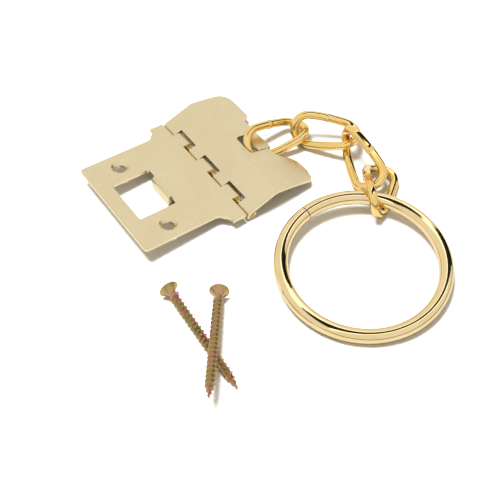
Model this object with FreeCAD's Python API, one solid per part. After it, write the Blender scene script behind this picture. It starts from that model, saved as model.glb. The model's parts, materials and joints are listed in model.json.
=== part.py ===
import FreeCAD
import Part
import math
import os

# Door chain guard: a strike leaf with a hinged chain leaf, four chain links, a knob ring
# and two loose wood screws, lying on a flat surface.
#
# Bench frame, in millimetres: the hinge line runs along Y, the strike leaf lies on its -X side,
# the chain leaf on its +X side, and the surface is z = 0. The finished set is then moved so that
# the origin is the centre of the underside of its bounding box.

Vec = FreeCAD.Vector
ORIGIN = Vec(0, 0, 0)
X_AXIS = Vec(1, 0, 0)
Y_AXIS = Vec(0, 1, 0)
Z_AXIS = Vec(0, 0, 1)

# Sheet and hinge
SHEET = 1.5
HINGE_WIDTH = 69.85
FIRST_STRIKE_KNUCKLE = 25.3
STRIKE_KNUCKLE = 8.8
KNUCKLE_PERIOD = 20.05
WIDE_GAP = 3.3
CLOSE_GAP = 0.3
BARREL_R = 2.5
BORE_R = BARREL_R - SHEET
PIN_R = BORE_R - 0.05
PIN_LENGTH = HINGE_WIDTH - 0.8
CUTOUT_DEPTH = 3.1
CURL_END = 375.0

# Strike leaf, measured along the leaf from the hinge line
STRIKE_TILT = 3.85
STRIKE_LENGTH = 51.1
STRIKE_HEIGHT = 57.15
STRIKE_CORNER_R = 1.6
EAR_CORNER = 10.2
EAR_ROOT = 16.0
SCREW_ROW = 34.55
SCREW_SPACING = 41.28
SCREW_HOLE_R = 2.5
SINK_R = 4.1
SINK_DEPTH = 1.6
DIMPLE_DEPTH = 2.5
DIMPLE_WALL = 1.0
LATCH_NEAR = 24.65
LATCH_FAR = 43.8
LATCH_HEIGHT = 24.15
LATCH_CORNER_R = 1.0
TANG_FACE = 26.0
TANG_WIDTH = 14.4
TANG_BEND_R = 0.8
TANG_CORNER_R = 2.0

# Chain leaf
CHAIN_TILT = 17.7
RIDGE_AT = 15.1
RIDGE_BEND_R = 3.0
SLOPE_AFTER_RIDGE = -8.3
SLOPE_AT_EDGE = -21.0
CURVE_LENGTH = 24.0
WINDOW_IN = 18.5
WINDOW_OUT = 23.4
WINDOW_FAR = 4.0
WINDOW_NEAR = -8.6
WINDOW_CORNER_R = 1.8
FINGER_OUT = 30.2
FINGER_TIP = -7.9
FINGER_DROP = 0.3
LOBE_ROOT = 14.7

# Chain of twisted links: each link's centre, heading, pitch and roll about its own length
WIRE_D = 4.1
LINK_LENGTH = 34.2
LINK_WIDTH = 18.1
LINK_TWIST = -81.0
WELD_R = 2.35
LINK_POSES = {
    "chain_link_1": ((35.68, -4.56, 6.47), -6.91, -1.52, 18.61),
    "chain_link_2": ((55.24, -17.33, 8.47), -50.30, 3.08, 28.59),
    "chain_link_3": ((57.16, -40.45, 8.72), -102.37, -12.84, 58.18),
    "chain_link_4": ((53.80, -57.56, 6.47), -137.83, 12.37, 141.95),
}

# Knob ring: its far side is lifted by the link that it lies on
RING_OUTSIDE = 76.2
RING_WIRE = 6.35
RING_CENTRE = (21.3, -85.7)
RING_TILT = 4.0
RING_TILT_AXIS = -35.64
RING_JOINT_AT = 132.0
RING_JOINT_GAP = 0.3

# Screws
SCREW_LENGTH = 54.5
SCREW_HEAD_R = 4.3
SCREW_THREAD_R = 2.3
SCREW_ROOT_R = 1.6
SCREW_RIM = 0.5
SCREW_NECK_AT = 4.2
SCREW_POINT = 7.0
SCREW_PITCH = 2.2
SCREW_CROSS_LENGTH = 5.2
SCREW_CROSS_WIDTH = 1.3
SCREW_CROSS_DEPTH = 2.4
SCREW_POSES = {
    "screw_1": ((-52.1, -47.9, 4.37), -93.0, -2.5),
    "screw_2": ((-35.5, -61.2, 4.4), -128.5, 6.5),
}


def arc(centre, radius, start, end):
    """Arc in the XZ plane about centre (x, z), angles in degrees from +X towards +Z."""
    points = []
    for angle in (start, (start + end) / 2, end):
        a = math.radians(angle)
        points.append(Vec(centre[0] + radius * math.cos(a), 0, centre[1] + radius * math.sin(a)))
    return Part.Arc(*points).toShape()


def face_of(edges):
    return Part.Face(Part.Wire(edges))


def knuckle_bands():
    """Lowest and highest y of each leaf's knuckles; every strike knuckle has a wide gap on its -Y side."""
    strike = []
    chain = []
    chain_high = HINGE_WIDTH / 2
    for i in range(3):
        strike_high = FIRST_STRIKE_KNUCKLE - i * KNUCKLE_PERIOD
        strike.append((strike_high - STRIKE_KNUCKLE, strike_high))
        chain.append((strike_high + CLOSE_GAP, chain_high))
        chain_high = strike_high - STRIKE_KNUCKLE - WIDE_GAP
    chain.append((-HINGE_WIDTH / 2, chain_high))
    return strike, chain


def knuckle(band):
    """Curled tab on the +X side of the pin axis, with its top level with the barrel's top."""
    reach = CUTOUT_DEPTH + 1.0
    end = math.radians(CURL_END)
    curl_outside = Vec(BARREL_R * math.cos(end), 0, BARREL_R * math.sin(end))
    curl_inside = Vec(BORE_R * math.cos(end), 0, BORE_R * math.sin(end))
    edges = [
        Part.makeLine(Vec(reach, 0, BARREL_R), Vec(0, 0, BARREL_R)),
        arc((0, 0), BARREL_R, 90, CURL_END),
        Part.makeLine(curl_outside, curl_inside),
        arc((0, 0), BORE_R, CURL_END, 90),
        Part.makeLine(Vec(0, 0, BORE_R), Vec(reach, 0, BORE_R)),
        Part.makeLine(Vec(reach, 0, BORE_R), Vec(reach, 0, BARREL_R)),
    ]
    low, high = band
    tab = face_of(edges).extrude(Vec(0, high - low, 0))
    tab.translate(Vec(0, low, 0))
    return tab


def on_bench(tilt, shape):
    """Lift a leaf that was built level about the pin axis: its free side rises by tilt."""
    shape.rotate(ORIGIN, Y_AXIS, -tilt)
    shape.translate(Vec(0, 0, BARREL_R))
    return shape


def plan_prism(edges, low=-20.0, height=60.0):
    """Prism along Z over a closed outline drawn in the XY plane."""
    prism = face_of(edges).extrude(Vec(0, 0, height))
    prism.translate(Vec(0, 0, low))
    return prism


def plan_arc(start, through, end):
    return Part.Arc(Vec(*start, 0), Vec(*through, 0), Vec(*end, 0)).toShape()


def outline(steps):
    """Closed outline from steps: each is a point, or a pair (point passed through, arc's end)."""
    edges = []
    here = steps[0]
    for step in steps[1:] + [steps[0]]:
        if isinstance(step[0], tuple):
            edges.append(plan_arc(here, step[0], step[1]))
            here = step[1]
        elif math.dist(here, step) > 1e-6:
            edges.append(Part.makeLine(Vec(*here, 0), Vec(*step, 0)))
            here = step
    return edges


def rounded_box(low, high, radius):
    """Outline of a rectangle with round corners."""
    k = radius * (1 - math.sqrt(0.5))
    x0, y0 = low
    x1, y1 = high
    r = radius
    return outline([
        (x0 + r, y0),
        (x1 - r, y0),
        ((x1 - k, y0 + k), (x1, y0 + r)),
        (x1, y1 - r),
        ((x1 - k, y1 - k), (x1 - r, y1)),
        (x0 + r, y1),
        ((x0 + k, y1 - k), (x0, y1 - r)),
        (x0, y0 + r),
        ((x0 + k, y0 + k), (x0 + r, y0)),
    ])


def mirrored(steps):
    """The same outline steps on the other side of y = 0, in reverse order."""
    flipped = []
    points = [step[1] if isinstance(step[0], tuple) else step for step in steps]
    flipped.append((points[-1][0], -points[-1][1]))
    for i in range(len(steps) - 1, 0, -1):
        target = (points[i - 1][0], -points[i - 1][1])
        if isinstance(steps[i][0], tuple):
            through = (steps[i][0][0], -steps[i][0][1])
            flipped.append((through, target))
        else:
            flipped.append(target)
    return flipped


def strike_outline():
    """Plan of the level strike leaf on the +X side, hinge edge at the knuckle cut-outs."""
    half_hinge = HINGE_WIDTH / 2
    half = STRIKE_HEIGHT / 2
    mid = ((EAR_CORNER + EAR_ROOT) / 2 - 0.9, (half_hinge + half) / 2 - 1.1)
    k = STRIKE_CORNER_R * (1 - math.sqrt(0.5))
    upper = [
        (CUTOUT_DEPTH, half_hinge),
        (EAR_CORNER, half_hinge),
        ((EAR_CORNER + 0.5, half_hinge - 3.0), mid),
        ((EAR_ROOT - 2.2, half + 0.35), (EAR_ROOT, half)),
        (STRIKE_LENGTH - STRIKE_CORNER_R, half),
        ((STRIKE_LENGTH - k, half - k), (STRIKE_LENGTH, half - STRIKE_CORNER_R)),
    ]
    return outline(upper + mirrored(upper))


def tang(depth_below_axis):
    """Tongue bent down from the latch hole's hinge side; its outer face looks into the hole."""
    outer_r = TANG_BEND_R + SHEET
    bend_x = TANG_FACE - outer_r
    bend_z = BARREL_R - outer_r
    inner_x = TANG_FACE - SHEET
    edges = [
        Part.makeLine(Vec(LATCH_NEAR - 4.0, 0, BARREL_R), Vec(bend_x, 0, BARREL_R)),
        arc((bend_x, bend_z), outer_r, 90, 0),
        Part.makeLine(Vec(TANG_FACE, 0, bend_z), Vec(TANG_FACE, 0, depth_below_axis)),
        Part.makeLine(Vec(TANG_FACE, 0, depth_below_axis), Vec(inner_x, 0, depth_below_axis)),
        Part.makeLine(Vec(inner_x, 0, depth_below_axis), Vec(inner_x, 0, bend_z)),
        arc((bend_x, bend_z), TANG_BEND_R, 0, 90),
        Part.makeLine(Vec(bend_x, 0, BORE_R), Vec(LATCH_NEAR - 4.0, 0, BORE_R)),
        Part.makeLine(Vec(LATCH_NEAR - 4.0, 0, BORE_R), Vec(LATCH_NEAR - 4.0, 0, BARREL_R)),
    ]
    tongue = face_of(edges).extrude(Vec(0, TANG_WIDTH, 0))
    tongue.translate(Vec(0, -TANG_WIDTH / 2, 0))
    lower_corners = []
    for edge in tongue.Edges:
        box = edge.BoundBox
        along_x = box.XLength > SHEET * 0.9 and box.YLength < 0.01 and box.ZLength < 0.01
        if along_x and abs(box.ZMin - depth_below_axis) < 0.01:
            lower_corners.append(edge)
    return tongue.makeFillet(TANG_CORNER_R, lower_corners)


def strike_leaf():
    top = BARREL_R
    plate = face_of(strike_outline()).extrude(Vec(0, 0, SHEET))
    plate.translate(Vec(0, 0, top - SHEET))
    latch = rounded_box((LATCH_NEAR, -LATCH_HEIGHT / 2), (LATCH_FAR, LATCH_HEIGHT / 2), LATCH_CORNER_R)
    plate = plate.cut(plan_prism(latch))
    pieces = [knuckle(band) for band in knuckle_bands()[0]]
    sine = math.sin(math.radians(STRIKE_TILT))
    cosine = math.cos(math.radians(STRIKE_TILT))
    foot = -(BARREL_R + (TANG_FACE - SHEET) * sine) / cosine
    pieces.append(tang(foot))
    sinks = []
    for y in (-SCREW_SPACING / 2, SCREW_SPACING / 2):
        at = Vec(SCREW_ROW, y, top)
        boss = Part.makeCone(SINK_R + DIMPLE_WALL, SCREW_HOLE_R + DIMPLE_WALL, DIMPLE_DEPTH, at, -Z_AXIS)
        pieces.append(boss)
        sinks.append(Part.makeCone(SINK_R, SCREW_HOLE_R, SINK_DEPTH, at, -Z_AXIS))
        sinks.append(Part.makeCylinder(SCREW_HOLE_R, 4 * SHEET, at, -Z_AXIS))
    leaf = plate.multiFuse(pieces).removeSplitter()
    leaf = leaf.cut(sinks[0].multiFuse(sinks[1:])).removeSplitter()
    leaf = leaf.mirror(ORIGIN, X_AXIS)
    leaf.rotate(ORIGIN, Y_AXIS, STRIKE_TILT)
    leaf.translate(Vec(0, 0, BARREL_R))
    return leaf


def chain_sheet_section():
    """Section of the level chain leaf: flat from the cut-outs to the ridge, then a falling curve."""
    flat_end = RIDGE_AT - RIDGE_BEND_R * math.tan(math.radians((CHAIN_TILT - SLOPE_AFTER_RIDGE) / 2))
    bend_turn = CHAIN_TILT - SLOPE_AFTER_RIDGE
    curve_turn = SLOPE_AFTER_RIDGE - SLOPE_AT_EDGE
    curve_r = CURVE_LENGTH / math.radians(curve_turn)
    bend_centre = (flat_end, BARREL_R - RIDGE_BEND_R)
    a1 = 90 - bend_turn
    a2 = a1 - curve_turn
    lead = math.radians(a1)
    curve_centre = (
        bend_centre[0] + (RIDGE_BEND_R - curve_r) * math.cos(lead),
        bend_centre[1] + (RIDGE_BEND_R - curve_r) * math.sin(lead),
    )
    top = [
        Part.makeLine(Vec(CUTOUT_DEPTH, 0, BARREL_R), Vec(flat_end, 0, BARREL_R)),
        arc(bend_centre, RIDGE_BEND_R, 90, a1),
        arc(curve_centre, curve_r, a1, a2),
    ]
    bottom = [
        arc(curve_centre, curve_r - SHEET, a2, a1),
        arc(bend_centre, RIDGE_BEND_R - SHEET, a1, 90),
        Part.makeLine(Vec(flat_end, 0, BORE_R), Vec(CUTOUT_DEPTH, 0, BORE_R)),
    ]
    outer_end = Part.makeLine(top[-1].Vertexes[-1].Point, bottom[0].Vertexes[0].Point)
    inner_end = Part.makeLine(Vec(CUTOUT_DEPTH, 0, BORE_R), Vec(CUTOUT_DEPTH, 0, BARREL_R))
    return face_of(top + [outer_end] + bottom + [inner_end])


def chain_leaf_outline():
    """Plan of the chain leaf on the bench: two lobes with the finger's edge set back between them."""
    half = HINGE_WIDTH / 2
    return outline([
        (-1.0, -half - 1.0),
        (-1.0, half + 1.0),
        (0.0, half),
        (28.8, half),
        ((32.9, 33.0), (34.5, 28.8)),
        (34.5, 18.4),
        ((33.9, 15.9), (31.6, LOBE_ROOT)),
        (FINGER_OUT, LOBE_ROOT),
        (FINGER_OUT, WINDOW_NEAR + 0.7),
        (28.0, WINDOW_NEAR),
        ((28.7, -12.6), (30.8, -16.4)),
        ((34.6, -19.4), (35.9, -25.0)),
        ((36.0, -28.3), (35.3, -31.2)),
        ((34.1, -33.9), (31.2, -half)),
        (0.0, -half),
    ])


def chain_leaf():
    half = HINGE_WIDTH / 2
    section = chain_sheet_section()
    section.translate(Vec(0, -half, 0))
    sheet = on_bench(CHAIN_TILT, section.extrude(Vec(0, HINGE_WIDTH, 0)))
    sheet = sheet.common(plan_prism(chain_leaf_outline()))
    window = rounded_box((WINDOW_IN, WINDOW_NEAR), (FINGER_OUT + 9.0, WINDOW_FAR), WINDOW_CORNER_R)
    sheet = sheet.cut(plan_prism(window))
    finger_cut = plan_prism(rounded_box((WINDOW_OUT, -50.0), (FINGER_OUT, 50.0), 0.5))
    finger_section = on_bench(CHAIN_TILT, chain_sheet_section()).common(finger_cut)
    finger_section.translate(Vec(0, WINDOW_FAR, 0))
    finger = finger_section.Faces[0].extrude(Vec(0, FINGER_TIP - WINDOW_FAR, -FINGER_DROP))
    knuckles = [on_bench(CHAIN_TILT, knuckle(band)) for band in knuckle_bands()[1]]
    return sheet.multiFuse([finger] + knuckles).removeSplitter()


def hinge_pin():
    start = Vec(0, -PIN_LENGTH / 2, BARREL_R)
    pin = Part.makeCylinder(PIN_R, PIN_LENGTH, start, Y_AXIS)
    return pin.makeChamfer(0.3, [edge for edge in pin.Edges if edge.Closed])


def twisted(x, y):
    """A point of the flat link's centreline, turned about X in step with its distance along X."""
    turn = math.radians(LINK_TWIST) * x / LINK_LENGTH
    return Vec(x, y * math.cos(turn), y * math.sin(turn))


def half_link():
    """Twisted wire from the middle of one leg, round the +X end, to the middle of the other leg."""
    leg = (LINK_LENGTH - LINK_WIDTH) / 2
    end_r = (LINK_WIDTH - WIRE_D) / 2
    flat = [(leg * i / 3, end_r) for i in range(3)]
    for i in range(11):
        a = math.radians(90 - 18 * i)
        flat.append((leg + end_r * math.cos(a), end_r * math.sin(a)))
    flat += [(leg * i / 3, -end_r) for i in (2, 1, 0)]
    lean = end_r * math.radians(LINK_TWIST) / LINK_LENGTH
    start = Vec(1, 0, lean)
    path = Part.BSplineCurve()
    path.interpolate([twisted(*point) for point in flat], InitialTangent=start, FinalTangent=Vec(-1, 0, lean))
    ring = Part.makeCircle(WIRE_D / 2, twisted(0, end_r), start)
    return Part.Wire(path.toShape()).makePipeShell([Part.Wire(ring)], True, False)


def chain_link(pose):
    """Wire link with two legs and two round ends, twisted along its length, with a weld on one leg."""
    centre, heading, pitch, roll = pose
    first = half_link()
    second = first.copy()
    second.rotate(ORIGIN, Z_AXIS, 180)
    weld = Part.makeSphere(WELD_R, twisted(0, (LINK_WIDTH - WIRE_D) / 2))
    link = first.multiFuse([second, weld]).removeSplitter()
    link.rotate(ORIGIN, X_AXIS, roll)
    link.rotate(ORIGIN, Y_AXIS, -pitch)
    link.rotate(ORIGIN, Z_AXIS, heading)
    link.translate(Vec(*centre))
    return link


def knob_ring():
    """Round wire ring with a fine butt joint."""
    bend_r = (RING_OUTSIDE - RING_WIRE) / 2
    gap = math.degrees(RING_JOINT_GAP / bend_r)
    disc = Part.Face(Part.Wire(Part.makeCircle(RING_WIRE / 2, Vec(bend_r, 0, 0), Y_AXIS)))
    ring = disc.revolve(ORIGIN, Z_AXIS, 360 - gap)
    ring.rotate(ORIGIN, Z_AXIS, RING_JOINT_AT + gap / 2)
    ring.rotate(ORIGIN, X_AXIS, RING_TILT)
    ring.rotate(ORIGIN, Z_AXIS, RING_TILT_AXIS)
    lift = bend_r * math.sin(math.radians(RING_TILT))
    ring.translate(Vec(*RING_CENTRE, RING_WIRE / 2 + lift))
    return ring


def screw_profile():
    """Radius against distance from the head's flat face, from the rim to the tip."""
    points = [(0.0, 0.0), (0.0, SCREW_HEAD_R), (SCREW_RIM, SCREW_HEAD_R), (SCREW_NECK_AT, SCREW_ROOT_R)]
    thread_end = SCREW_LENGTH - SCREW_POINT
    turns = int((SCREW_LENGTH - SCREW_NECK_AT - 1.5) / SCREW_PITCH)
    for turn in range(turns):
        crest_at = SCREW_NECK_AT + (turn + 0.5) * SCREW_PITCH
        taper = min(1.0, (SCREW_LENGTH - crest_at) / SCREW_POINT)
        root = SCREW_ROOT_R * taper
        crest = SCREW_THREAD_R * min(1.0, taper + 0.1)
        points.append((crest_at - 0.45 * SCREW_PITCH, root))
        points.append((crest_at - 0.12, crest))
        points.append((crest_at + 0.12, crest))
    points.append((SCREW_LENGTH, 0.0))
    return points


def screw(pose):
    head, heading, pitch = pose
    corners = [Vec(x, radius, 0) for x, radius in screw_profile()]
    section = Part.Face(Part.makePolygon(corners + [corners[0]]))
    body = section.revolve(ORIGIN, X_AXIS, 360)
    slot = Part.makeBox(SCREW_CROSS_DEPTH, SCREW_CROSS_LENGTH, SCREW_CROSS_WIDTH)
    slot.translate(Vec(0, -SCREW_CROSS_LENGTH / 2, -SCREW_CROSS_WIDTH / 2))
    cross = slot.copy()
    cross.rotate(ORIGIN, X_AXIS, 90)
    body = body.cut(slot.fuse(cross))
    body.rotate(ORIGIN, Y_AXIS, -pitch)
    body.rotate(ORIGIN, Z_AXIS, heading)
    body.translate(Vec(*head))
    return body


def build():
    """Every node in the bench frame."""
    nodes = {
        "strike_leaf": strike_leaf(),
        "chain_leaf": chain_leaf(),
        "hinge_pin": hinge_pin(),
        "knob_ring": knob_ring(),
    }
    for name, pose in LINK_POSES.items():
        nodes[name] = chain_link(pose)
    for name, pose in SCREW_POSES.items():
        nodes[name] = screw(pose)
    return nodes


def row_origin(nodes):
    """Centre of the underside of the set's bounding box, in the bench frame."""
    box = FreeCAD.BoundBox()
    for shape in nodes.values():
        box.add(shape.optimalBoundingBox(False))
    return Vec(box.Center.x, box.Center.y, box.ZMin)


def main():
    os.makedirs("parts", exist_ok=True)
    nodes = build()
    shift = -row_origin(nodes)
    for name, shape in nodes.items():
        shape.translate(shift)
        shape.exportStep(f"parts/{name}.step")
        state = "valid" if shape.isValid() else "NOT VALID"
        print(f"{name}: {state}, {len(shape.Solids)} solid, {shape.Volume:.1f} mm3")


main()
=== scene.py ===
import json
import math

import bmesh
import bpy
import numpy as np
from mathutils import Matrix, Vector


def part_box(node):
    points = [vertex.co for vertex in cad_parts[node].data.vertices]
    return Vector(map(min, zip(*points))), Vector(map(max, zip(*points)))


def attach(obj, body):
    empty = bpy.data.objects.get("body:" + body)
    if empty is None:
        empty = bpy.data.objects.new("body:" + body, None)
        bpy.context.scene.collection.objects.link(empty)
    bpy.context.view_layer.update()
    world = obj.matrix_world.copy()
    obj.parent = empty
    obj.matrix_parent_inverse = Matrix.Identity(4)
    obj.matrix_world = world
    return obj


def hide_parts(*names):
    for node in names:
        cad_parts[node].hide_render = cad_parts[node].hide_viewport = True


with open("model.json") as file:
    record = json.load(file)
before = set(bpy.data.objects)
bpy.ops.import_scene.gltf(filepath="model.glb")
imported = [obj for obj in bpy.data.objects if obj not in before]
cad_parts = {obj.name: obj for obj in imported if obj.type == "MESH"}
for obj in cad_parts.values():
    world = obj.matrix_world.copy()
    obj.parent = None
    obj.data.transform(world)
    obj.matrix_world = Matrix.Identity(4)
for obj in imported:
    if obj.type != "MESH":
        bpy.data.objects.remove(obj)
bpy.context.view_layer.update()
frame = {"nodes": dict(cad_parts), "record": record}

MM = 0.001
NODES = frame["nodes"]

# The hinge pin's axis places everything: the bench frame has it at x = 0, y = 0.
BARREL_R = 2.5 * MM
hinge = next(j for j in frame["record"]["behaviour"]["joints"] if j["name"] == "leaf_hinge")
BENCH = Vector(hinge["pos_m"]) - Vector((0, 0, BARREL_R))

# ---------------------------------------------------------------- camera

VIEW_ELEVATION = math.radians(51.75)
VIEW_HEADING = math.radians(35.64)
VIEW_DISTANCE = 393.2 * MM
LOOK_AT = Vector((-8.92, -45.9, 0.0)) * MM
LENS = 64.8


def view_axes():
    """Forward on the floor, right, line of sight and up, as the photograph's viewer sees them."""
    ahead = Vector((math.sin(VIEW_HEADING), math.cos(VIEW_HEADING), 0))
    right = Vector((math.cos(VIEW_HEADING), -math.sin(VIEW_HEADING), 0))
    sight = ahead * math.cos(VIEW_ELEVATION) - Vector((0, 0, math.sin(VIEW_ELEVATION)))
    up = ahead * math.sin(VIEW_ELEVATION) + Vector((0, 0, math.cos(VIEW_ELEVATION)))
    return ahead, right, sight, up


AHEAD, RIGHT, SIGHT, UP = view_axes()


def make_camera():
    data = bpy.data.cameras.new("camera")
    data.lens = LENS
    data.sensor_width = 36.0
    data.sensor_fit = "HORIZONTAL"
    data.clip_start = 0.01
    data.clip_end = 20.0
    camera = bpy.data.objects.new("camera", data)
    bpy.context.scene.collection.objects.link(camera)
    turn = Matrix((RIGHT, UP, -SIGHT)).transposed().to_4x4()
    camera.matrix_world = Matrix.Translation(BENCH + LOOK_AT - SIGHT * VIEW_DISTANCE) @ turn
    bpy.context.scene.camera = camera


make_camera()

# ---------------------------------------------------------------- materials


class Nodes:
    """A material's node tree, built by short calls."""

    def __init__(self, name):
        self.material = bpy.data.materials.new(name)
        self.material.use_nodes = True
        self.tree = self.material.node_tree
        self.shader = self.tree.nodes["Principled BSDF"]

    def add(self, kind, **values):
        node = self.tree.nodes.new(kind)
        for key, value in values.items():
            setattr(node, key, value)
        return node

    def link(self, out_socket, in_socket):
        self.tree.links.new(out_socket, in_socket)

    def noise(self, scale, detail=3.0, rough=0.5, distortion=0.0):
        """Noise in object space, with scale in features per metre."""
        place = self.add("ShaderNodeTexCoord")
        noise = self.add("ShaderNodeTexNoise")
        noise.inputs["Scale"].default_value = scale
        noise.inputs["Detail"].default_value = detail
        noise.inputs["Roughness"].default_value = rough
        noise.inputs["Distortion"].default_value = distortion
        self.link(place.outputs["Object"], noise.inputs["Vector"])
        return noise.outputs["Fac"]

    def ramp(self, value, stops):
        ramp = self.add("ShaderNodeValToRGB")
        elements = ramp.color_ramp.elements
        while len(elements) < len(stops):
            elements.new(0.5)
        for element, (at, colour) in zip(elements, stops):
            element.position = at
            element.color = (*colour, 1.0)
        self.link(value, ramp.inputs["Fac"])
        return ramp.outputs["Color"]

    def span(self, value, low, high, from_low=0.3, from_high=0.7):
        remap = self.add("ShaderNodeMapRange")
        remap.inputs["From Min"].default_value = from_low
        remap.inputs["From Max"].default_value = from_high
        remap.inputs["To Min"].default_value = low
        remap.inputs["To Max"].default_value = high
        self.link(value, remap.inputs["Value"])
        return remap.outputs["Result"]

    def bump(self, height, distance, strength=1.0, normal=None):
        bump = self.add("ShaderNodeBump")
        bump.inputs["Distance"].default_value = distance
        bump.inputs["Strength"].default_value = strength
        self.link(height, bump.inputs["Height"])
        if normal is not None:
            self.link(normal, bump.inputs["Normal"])
        return bump.outputs["Normal"]


def plated_sheet():
    """Bright brass plating on pressed sheet: satin, with faint mottling and fine rolling texture."""
    n = Nodes("plated_sheet_look")
    mottle = n.noise(55.0, 4.0, 0.55)
    colour = n.ramp(mottle, [
        (0.30, (0.735, 0.615, 0.375)),
        (0.52, (0.755, 0.638, 0.400)),
        (0.72, (0.770, 0.655, 0.420)),
    ])
    n.link(colour, n.shader.inputs["Base Color"])
    n.shader.inputs["Metallic"].default_value = 1.0
    n.link(n.span(n.noise(140.0, 5.0), 0.24, 0.34), n.shader.inputs["Roughness"])
    fine = n.bump(n.noise(2600.0, 2.0), 0.000003, 0.3)
    broad = n.bump(n.noise(90.0, 2.0), 0.00003, 0.35, fine)
    n.link(broad, n.shader.inputs["Normal"])
    return n.material


def polished_wire(name, deep, middle, pale):
    """Mirror-bright brass plating on wire, with faint drawing waviness, in three tones of gold."""
    n = Nodes(name)
    tone = n.noise(120.0, 3.0)
    colour = n.ramp(tone, [(0.30, deep), (0.50, middle), (0.72, pale)])
    n.link(colour, n.shader.inputs["Base Color"])
    n.shader.inputs["Metallic"].default_value = 1.0
    n.link(n.span(n.noise(300.0, 4.0), 0.03, 0.075), n.shader.inputs["Roughness"])
    wavy = n.bump(n.noise(260.0, 2.0, 0.4), 0.00008, 0.40)
    pits = n.bump(n.noise(1900.0, 2.0), 0.000006, 0.35, wavy)
    n.link(pits, n.shader.inputs["Normal"])
    return n.material


def yellow_zinc():
    """Yellow zinc plating: olive gold with pink and green patches, with painted shade darkening the thread's
    hollows.
    """
    n = Nodes("yellow_zinc_look")
    patches = n.noise(170.0, 3.0, 0.55, 0.8)
    colour = n.ramp(patches, [
        (0.30, (0.26, 0.30, 0.09)),
        (0.43, (0.46, 0.34, 0.13)),
        (0.52, (0.52, 0.36, 0.16)),
        (0.60, (0.58, 0.27, 0.20)),
        (0.72, (0.52, 0.17, 0.22)),
    ])
    # Painted shade: ambient occlusion darkens the base colour in the thread's hollows and other recesses.
    hollow = n.add("ShaderNodeAmbientOcclusion", samples=6, only_local=True)
    hollow.inputs["Distance"].default_value = 0.0011
    painted_hollow_shade = n.add("ShaderNodeMix", data_type="RGBA", blend_type="MULTIPLY")
    painted_hollow_shade.inputs[0].default_value = 1.0
    n.link(colour, painted_hollow_shade.inputs[6])
    shade = n.ramp(hollow.outputs["AO"], [
        (0.58, (0.05, 0.035, 0.02)),
        (0.84, (0.42, 0.36, 0.28)),
        (0.98, (1.0, 1.0, 1.0)),
    ])
    n.link(shade, painted_hollow_shade.inputs[7])
    n.link(painted_hollow_shade.outputs[2], n.shader.inputs["Base Color"])
    n.shader.inputs["Metallic"].default_value = 1.0
    n.link(n.span(n.noise(500.0, 4.0), 0.30, 0.42), n.shader.inputs["Roughness"])
    n.link(n.bump(n.noise(2200.0, 3.0), 0.00001, 0.6), n.shader.inputs["Normal"])
    return n.material


SHEET_LOOK = plated_sheet()
RING_GOLD = [(0.800, 0.615, 0.310), (0.825, 0.650, 0.350), (0.850, 0.690, 0.400)]
LINK_GOLD = [(0.840, 0.575, 0.190), (0.865, 0.615, 0.225), (0.885, 0.655, 0.280)]
RING_LOOK = polished_wire("ring_wire_look", *RING_GOLD)
LINK_LOOK = polished_wire("link_wire_look", *LINK_GOLD)
SCREW_LOOK = yellow_zinc()


def wear(piece, material, body, node):
    """Finish a piece: material, slot, body, and the node that it stands for."""
    piece.data.materials.clear()
    piece.data.materials.append(material)
    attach(piece, body)
    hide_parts(node)


def link_object(name, mesh):
    piece = bpy.data.objects.new(name, mesh)
    bpy.context.scene.collection.objects.link(piece)
    return piece


# ---------------------------------------------------------------- sheet leaves

EDGE_ROUND = 0.22 * MM
SEAM_MERGE = 0.001 * MM
FLAT_WITHIN = math.radians(0.4)
SMOOTH_WITHIN = math.radians(28)
ROUND_ABOVE = math.radians(35)


def sheet_leaf(node):
    """The node's own shape with its pressed edges rounded off."""
    mesh = NODES[node].data.copy()
    grown = bmesh.new()
    grown.from_mesh(mesh)
    bmesh.ops.remove_doubles(grown, verts=grown.verts, dist=SEAM_MERGE)
    bmesh.ops.dissolve_limit(grown, angle_limit=FLAT_WITHIN, verts=grown.verts, edges=grown.edges)
    grown.to_mesh(mesh)
    grown.free()
    mesh.name = node + "_rounded"
    piece = link_object(node + "_shell", mesh)
    for polygon in mesh.polygons:
        polygon.use_smooth = True
    mesh.set_sharp_from_angle(angle=SMOOTH_WITHIN)
    bevel = piece.modifiers.new("rounding", "BEVEL")
    bevel.width = EDGE_ROUND
    bevel.segments = 3
    bevel.limit_method = "ANGLE"
    bevel.angle_limit = ROUND_ABOVE
    bevel.harden_normals = False
    wear(piece, SHEET_LOOK, node, node)
    return piece


for leaf in ("strike_leaf", "chain_leaf"):
    sheet_leaf(leaf)

NODES["hinge_pin"].data.materials.clear()
NODES["hinge_pin"].data.materials.append(LINK_LOOK)

# ---------------------------------------------------------------- wire pieces


def tube(name, centres, tangents, radii, sides=40, closed=True):
    """Round tube through centres; each ring of vertices is square to its tangent."""
    rows = []
    grown = bmesh.new()
    across = tangents[0].orthogonal().normalized()
    for centre, tangent, radius in zip(centres, tangents, radii):
        across = (across - tangent * across.dot(tangent)).normalized()
        other = tangent.cross(across)
        row = []
        for k in range(sides):
            a = 2 * math.pi * k / sides
            row.append(grown.verts.new(centre + (across * math.cos(a) + other * math.sin(a)) * radius))
        rows.append(row)
    count = len(rows)
    for i in range(count if closed else count - 1):
        low, high = rows[i], rows[(i + 1) % count]
        for k in range(sides):
            k2 = (k + 1) % sides
            grown.faces.new((low[k], low[k2], high[k2], high[k]))
    if not closed:
        grown.faces.new(list(reversed(rows[0])))
        grown.faces.new(rows[-1])
    bmesh.ops.recalc_face_normals(grown, faces=grown.faces)
    mesh = bpy.data.meshes.new(name)
    grown.to_mesh(mesh)
    grown.free()
    for polygon in mesh.polygons:
        polygon.use_smooth = len(polygon.vertices) == 4
    return link_object(name, mesh)


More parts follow.
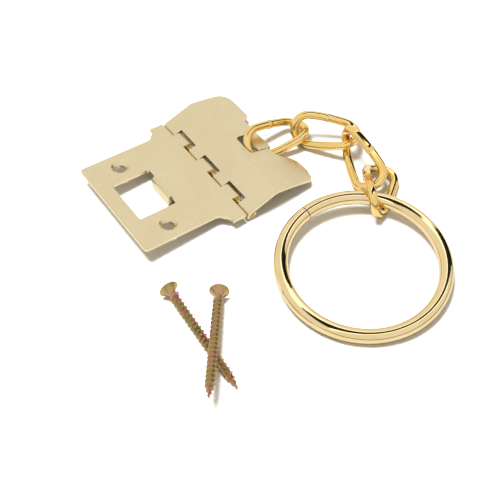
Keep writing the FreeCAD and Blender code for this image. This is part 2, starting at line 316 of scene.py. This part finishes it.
WIRE_D = 4.1 * MM
LINK_LENGTH = 34.2 * MM
LINK_WIDTH = 18.1 * MM
LINK_TWIST = math.radians(-81.0)
LINK_STEP = 0.3 * MM
WELD_RISE = 0.24 * MM
WELD_REACH = 0.75 * MM
LINK_TURNS = {
    "chain_link_1": (-6.91, -1.52, 18.61),
    "chain_link_2": (-50.30, 3.08, 28.59),
    "chain_link_3": (-102.37, -12.84, 58.18),
    "chain_link_4": (-137.83, 12.37, 141.95),
}


def link_path(step):
    """Points, tangents and distances from the weld on a stadium that is twisted about its long axis."""
    half_leg = (LINK_LENGTH - LINK_WIDTH) / 2
    end_r = (LINK_WIDTH - WIRE_D) / 2
    around = math.pi * end_r
    total = 4 * half_leg + 2 * around
    count = int(total / step)

    def flat(s):
        s %= total
        if s < half_leg:
            return s, end_r
        s -= half_leg
        if s < around:
            a = math.pi / 2 - s / end_r
            return half_leg + end_r * math.cos(a), end_r * math.sin(a)
        s -= around
        if s < 2 * half_leg:
            return half_leg - s, -end_r
        s -= 2 * half_leg
        if s < around:
            a = -math.pi / 2 - s / end_r
            return -half_leg + end_r * math.cos(a), end_r * math.sin(a)
        return -half_leg + s - around, end_r

    def point(s):
        x, y = flat(s)
        turn = LINK_TWIST * x / LINK_LENGTH
        return Vector((x, y * math.cos(turn), y * math.sin(turn)))

    places = [total * i / count for i in range(count)]
    centres = [point(s) for s in places]
    tangents = [(point(s + step / 2) - point(s - step / 2)).normalized() for s in places]
    apart = [min(s, total - s) for s in places]
    return centres, tangents, apart


def settle(piece, turn, node):
    """Turn a piece that was built about its own origin, and centre its box on the node's box."""
    piece.data.transform(turn)
    low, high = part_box(node)
    points = np.zeros(len(piece.data.vertices) * 3)
    piece.data.vertices.foreach_get("co", points)
    points = points.reshape(-1, 3)
    middle = Vector((points.min(0) + points.max(0)) / 2)
    piece.data.transform(Matrix.Translation((low + high) / 2 - middle))


def turned(heading, pitch, roll=0.0):
    """Roll about X, then raise the +X end by pitch, then turn to heading; degrees."""
    heading, pitch, roll = (math.radians(v) for v in (heading, pitch, roll))
    return Matrix.Rotation(heading, 4, "Z") @ Matrix.Rotation(-pitch, 4, "Y") @ Matrix.Rotation(roll, 4, "X")


def chain_link(node):
    """Twisted wire link with a weld's swelling in the middle of one leg."""
    centres, tangents, apart = link_path(LINK_STEP)
    radii = [WIRE_D / 2 + WELD_RISE * math.exp(-((s / WELD_REACH) ** 2)) for s in apart]
    piece = tube(node + "_wire", centres, tangents, radii)
    settle(piece, turned(*LINK_TURNS[node]), node)
    wear(piece, LINK_LOOK, node, node)


for number in (1, 2, 3, 4):
    chain_link(f"chain_link_{number}")


RING_OUTSIDE = 76.18 * MM
RING_WIRE = 6.34 * MM
RING_TILT = 4.0
RING_TILT_AXIS = -35.64
RING_JOINT_AT = 132.0
RING_JOINT_GAP = 0.3 * MM
RING_END_ROLL = 0.16 * MM
RING_END_REACH = 0.18 * MM


def knob_ring():
    """Round wire ring with a fine butt joint whose edges are slightly rolled."""
    bend_r = (RING_OUTSIDE - RING_WIRE) / 2
    gap = RING_JOINT_GAP / bend_r
    start = math.radians(RING_JOINT_AT) + gap / 2
    sweep = 2 * math.pi - gap
    ends = [0.0, 0.0001, 0.0006, 0.0012, 0.002]
    shares = ends + [0.002 + 0.996 * i / 720 for i in range(1, 720)] + [1 - e for e in reversed(ends)]
    centres, tangents, radii = [], [], []
    for share in shares:
        a = start + sweep * share
        centres.append(Vector((math.cos(a), math.sin(a), 0)) * bend_r)
        tangents.append(Vector((-math.sin(a), math.cos(a), 0)))
        edge = min(share, 1 - share) * sweep * bend_r
        radii.append(RING_WIRE / 2 - RING_END_ROLL * max(0.0, 1 - edge / RING_END_REACH) ** 2)
    piece = tube("knob_ring_wire", centres, tangents, radii, sides=56, closed=False)
    tilt = Matrix.Rotation(math.radians(RING_TILT), 4, "X")
    settle(piece, Matrix.Rotation(math.radians(RING_TILT_AXIS), 4, "Z") @ tilt, "knob_ring")
    wear(piece, RING_LOOK, "knob_ring", "knob_ring")


knob_ring()

# ---------------------------------------------------------------- screws

SCREW_LENGTH = 54.5 * MM
SCREW_HEAD_R = 4.3 * MM
SCREW_THREAD_R = 2.3 * MM
SCREW_ROOT_R = 1.6 * MM
SCREW_RIM = 0.5 * MM
SCREW_NECK_AT = 4.2 * MM
SCREW_POINT = 7.0 * MM
SCREW_PITCH = 2.2 * MM
SCREW_SIDES = 72
SCREW_STEP = 0.1 * MM
CAP_STEP = 0.12 * MM
CAP_RINGS = 33
CROSS_ARM = 2.6 * MM
CROSS_HALF_WIDTH = 0.65 * MM
CREASE_ABOVE = math.radians(42)
SCREW_TURNS = {"screw_1": (-93.0, -2.5), "screw_2": (-128.5, 6.5)}


def screw_radius(x, angle):
    """Head's rounded rim and bugle, then a core with a sharp helical thread that runs out at the point."""
    if x < SCREW_RIM:
        return SCREW_HEAD_R - 0.25 * MM * (1 - x / SCREW_RIM) ** 2
    if x < SCREW_NECK_AT:
        t = (x - SCREW_RIM) / (SCREW_NECK_AT - SCREW_RIM)
        return SCREW_ROOT_R + (SCREW_HEAD_R - SCREW_ROOT_R) * (1 - t) ** 1.9
    taper = min(1.0, (SCREW_LENGTH - x) / SCREW_POINT)
    phase = (x / SCREW_PITCH - angle / (2 * math.pi)) % 1.0
    ridge = max(0.0, 1 - abs(phase - 0.5) / 0.24)
    lead_in = min(1.0, (x - SCREW_NECK_AT) / (1.5 * MM))
    root = SCREW_ROOT_R * taper
    crest = SCREW_THREAD_R * min(1.0, taper + 0.1 * min(1.0, taper / 0.2))
    return root + (crest - root) * lead_in * ridge ** 1.15


def screw_cap(radius, angle):
    """Depth of the cross recess below the head's end, at a place on it."""
    y, z = abs(radius * math.cos(angle)), abs(radius * math.sin(angle))
    upright = y < CROSS_HALF_WIDTH and z < CROSS_ARM
    level = z < CROSS_HALF_WIDTH and y < CROSS_ARM
    return (2.2 - 0.45 * radius / MM) * MM if upright or level else 0.0


def screw(node):
    """Head with a cross recess, and helical thread, in one closed mesh along +X."""
    sides = SCREW_SIDES
    grown = bmesh.new()
    rows = []
    for radius in [CAP_STEP * i for i in range(1, CAP_RINGS + 1)]:
        rows.append([(screw_cap(radius, 2 * math.pi * k / sides), radius) for k in range(sides)])
    x = 0.0
    while x < SCREW_LENGTH - 0.05 * MM:
        rows.append([(x, screw_radius(x, 2 * math.pi * k / sides)) for k in range(sides)])
        x += SCREW_STEP
    rings = []
    for row in rows:
        ring = []
        for k, (along, radius) in enumerate(row):
            a = 2 * math.pi * k / sides
            ring.append(grown.verts.new((along, radius * math.cos(a), radius * math.sin(a))))
        rings.append(ring)
    for low, high in zip(rings, rings[1:]):
        for k in range(sides):
            grown.faces.new((low[k], low[(k + 1) % sides], high[(k + 1) % sides], high[k]))
    middle = grown.verts.new((screw_cap(0.0, 0.0), 0, 0))
    tip = grown.verts.new((SCREW_LENGTH, 0, 0))
    for k in range(sides):
        grown.faces.new((middle, rings[0][(k + 1) % sides], rings[0][k]))
        grown.faces.new((rings[-1][k], rings[-1][(k + 1) % sides], tip))
    bmesh.ops.recalc_face_normals(grown, faces=grown.faces)
    mesh = bpy.data.meshes.new(node + "_thread")
    grown.to_mesh(mesh)
    grown.free()
    for polygon in mesh.polygons:
        polygon.use_smooth = True
    mesh.set_sharp_from_angle(angle=CREASE_ABOVE)
    piece = link_object(node + "_thread", mesh)
    settle(piece, turned(*SCREW_TURNS[node]), node)
    wear(piece, SCREW_LOOK, node, node)


for name in SCREW_TURNS:
    screw(name)

# ---------------------------------------------------------------- floor and light

# The dark band is a great circle through these two directions: (ahead, right, up).
BAND_TOP = (0.122, 0.0, 0.993)
BAND_FOOT = (0.619, 0.768, 0.163)
BAND_HALF = 0.19
BAND_LEFT_END = -0.36
RIM_WIDTH = 0.09
RIM_SHINE = 1.9
HORIZON = 0.12
FLOOR_IN_METAL = 0.56
FILL = 0.50
SHINE = 0.98
KEY_POWER = 24.0
KEY_DISTANCE = 1.1
FLOOR_HALF = 3.0


def make_floor():
    n = Nodes("floor_look")
    colour = n.ramp(n.noise(3.0, 3.0), [(0.3, (0.90, 0.90, 0.895)), (0.7, (0.93, 0.93, 0.925))])
    # Painted shade: for glossy rays the floor's colour is scaled down by FLOOR_IN_METAL, so the floor shows
    # darker where the metal reflects it.
    rays = n.add("ShaderNodeLightPath")
    floor_shade_in_metal = n.add("ShaderNodeMix", data_type="RGBA", blend_type="MULTIPLY")
    n.link(rays.outputs["Is Glossy Ray"], floor_shade_in_metal.inputs[0])
    n.link(colour, floor_shade_in_metal.inputs[6])
    floor_shade_in_metal.inputs[7].default_value = (FLOOR_IN_METAL, FLOOR_IN_METAL, FLOOR_IN_METAL, 1.0)
    n.link(floor_shade_in_metal.outputs[2], n.shader.inputs["Base Color"])
    n.shader.inputs["Roughness"].default_value = 0.7
    n.shader.inputs["Specular IOR Level"].default_value = 0.2
    grown = bmesh.new()
    bmesh.ops.create_grid(grown, x_segments=8, y_segments=8, size=FLOOR_HALF)
    mesh = bpy.data.meshes.new("floor")
    grown.to_mesh(mesh)
    grown.free()
    mesh.materials.append(n.material)
    floor = link_object("floor", mesh)


def make_world():
    """Even white studio; in the metal it shows a dark band with bright rims, and a darker low part."""
    world = bpy.data.worlds.new("studio")
    bpy.context.scene.world = world
    world.use_nodes = True
    tree = world.node_tree
    background = tree.nodes["Background"]
    place = tree.nodes.new("ShaderNodeTexCoord")

    def dot(axis):
        node = tree.nodes.new("ShaderNodeVectorMath")
        node.operation = "DOT_PRODUCT"
        tree.links.new(place.outputs["Generated"], node.inputs[0])
        node.inputs[1].default_value = axis
        return node.outputs["Value"]

    def maths(operation, first, second):
        node = tree.nodes.new("ShaderNodeMath")
        node.operation = operation
        for socket, value in zip(node.inputs, (first, second)):
            if isinstance(value, (int, float)):
                socket.default_value = value
            else:
                tree.links.new(value, socket)
        return node.outputs["Value"]

    def step(value, start, end, low, high):
        node = tree.nodes.new("ShaderNodeMapRange")
        node.interpolation_type = "SMOOTHSTEP"
        for name, number in (("From Min", start), ("From Max", end), ("To Min", low), ("To Max", high)):
            node.inputs[name].default_value = number
        tree.links.new(value, node.inputs["Value"])
        return node.outputs["Result"]

    top, foot = (AHEAD * a + RIGHT * r + Vector((0, 0, u)) for a, r, u in (BAND_TOP, BAND_FOOT))
    across = maths("ABSOLUTE", dot(top.cross(foot).normalized()), 0.0)
    side = step(dot(RIGHT), BAND_LEFT_END - 0.08, BAND_LEFT_END + 0.08, 0.0, 1.0)
    dark = maths("MULTIPLY", step(across, BAND_HALF - 0.02, BAND_HALF + 0.02, 1.0, 0.0), side)
    rim_end = BAND_HALF + RIM_WIDTH
    rim = maths("MULTIPLY", step(across, rim_end, rim_end + 0.05, RIM_SHINE - 1.0, 0.0), side)
    rim = maths("MULTIPLY", rim, step(dot(Vector((0, 0, 1))), 0.55, 0.75, 0.0, 1.0))
    shaded_side = step(dot(RIGHT * 0.8 - AHEAD * 0.6), -0.35, 0.05, 0.0, 1.0 - HORIZON)
    low = maths("MULTIPLY", step(dot(Vector((0, 0, 1))), 0.04, 0.26, 1.0, 0.0), shaded_side)
    shine = maths("MULTIPLY", maths("SUBTRACT", 1.0, low), maths("ADD", 1.0, rim))
    shine = maths("MULTIPLY", shine, maths("SUBTRACT", 1.0, maths("MULTIPLY", dark, 0.985)))
    rays = tree.nodes.new("ShaderNodeLightPath")
    diffuse = tree.nodes.new("ShaderNodeMix")
    diffuse.data_type = "FLOAT"
    tree.links.new(rays.outputs["Is Glossy Ray"], diffuse.inputs[0])
    diffuse.inputs[2].default_value = FILL
    tree.links.new(maths("MULTIPLY", shine, SHINE), diffuse.inputs[3])
    tree.links.new(diffuse.outputs[0], background.inputs["Strength"])
    tint = tree.nodes.new("ShaderNodeMix")
    tint.data_type = "RGBA"
    tree.links.new(rays.outputs["Is Glossy Ray"], tint.inputs[0])
    tint.inputs[6].default_value = (1.0, 0.90, 0.75, 1.0)
    tint.inputs[7].default_value = (1.0, 0.995, 0.985, 1.0)
    tree.links.new(tint.outputs[2], background.inputs["Color"])


def make_key():
    """Large soft box overhead, a little to the left and behind; the metal mirrors the studio instead of it."""
    data = bpy.data.lights.new("key", "AREA")
    data.shape = "RECTANGLE"
    data.size = 0.42
    data.size_y = 0.36
    data.energy = KEY_POWER
    data.color = (0.98, 0.99, 1.0)
    key = bpy.data.objects.new("key", data)
    bpy.context.scene.collection.objects.link(key)
    key.visible_glossy = False
    towards = (Vector((0, 0, 1)) - RIGHT * 0.22 + AHEAD * 0.11).normalized()
    target = BENCH + LOOK_AT
    facing = towards.to_track_quat("Z", "Y").to_matrix().to_4x4()
    key.matrix_world = Matrix.Translation(target + towards * KEY_DISTANCE) @ facing


make_floor()
make_world()
make_key()
bpy.context.scene.view_settings.view_transform = "Standard"
